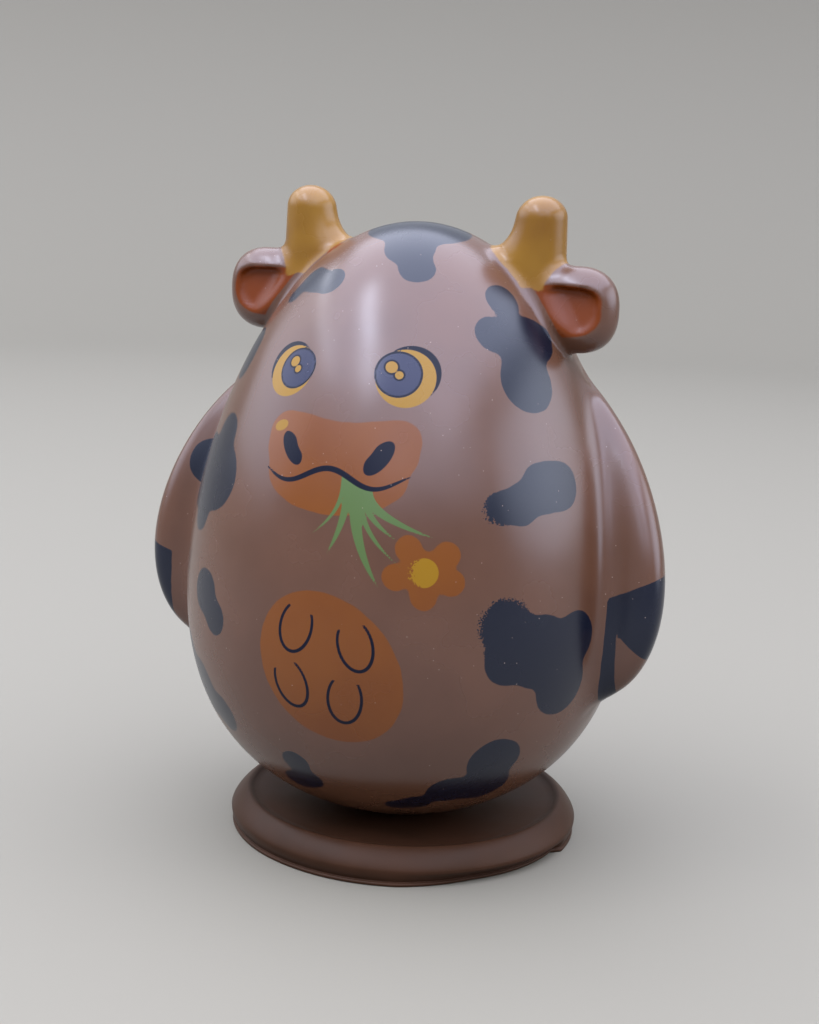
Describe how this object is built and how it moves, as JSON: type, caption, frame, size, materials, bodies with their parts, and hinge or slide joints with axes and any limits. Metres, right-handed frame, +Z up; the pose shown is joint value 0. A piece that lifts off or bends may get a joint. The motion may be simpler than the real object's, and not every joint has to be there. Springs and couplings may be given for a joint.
{
  "type": "chocolate egg",
  "caption": "Moulded chocolate egg in the form of a sitting cow, with horns, cupped ears and side arms, printed face and patches, on a round chocolate foot.",
  "frame": {"origin": "centre of the bounding box at the underside of the foot, under the egg's axis", "axes": "+Z up along the egg's axis, -Y towards the viewer of the face, +X to that viewer's right"},
  "size_m": [0.1232, 0.1002, 0.1462],
  "materials": {
    "milk_chocolate": "satin milk chocolate with coloured cocoa butter print",
    "foot_chocolate": "satin milk chocolate"
  },
  "bodies": {
    "root": {"egg": "milk_chocolate", "foot": "foot_chocolate"}
  },
  "joints": []
}
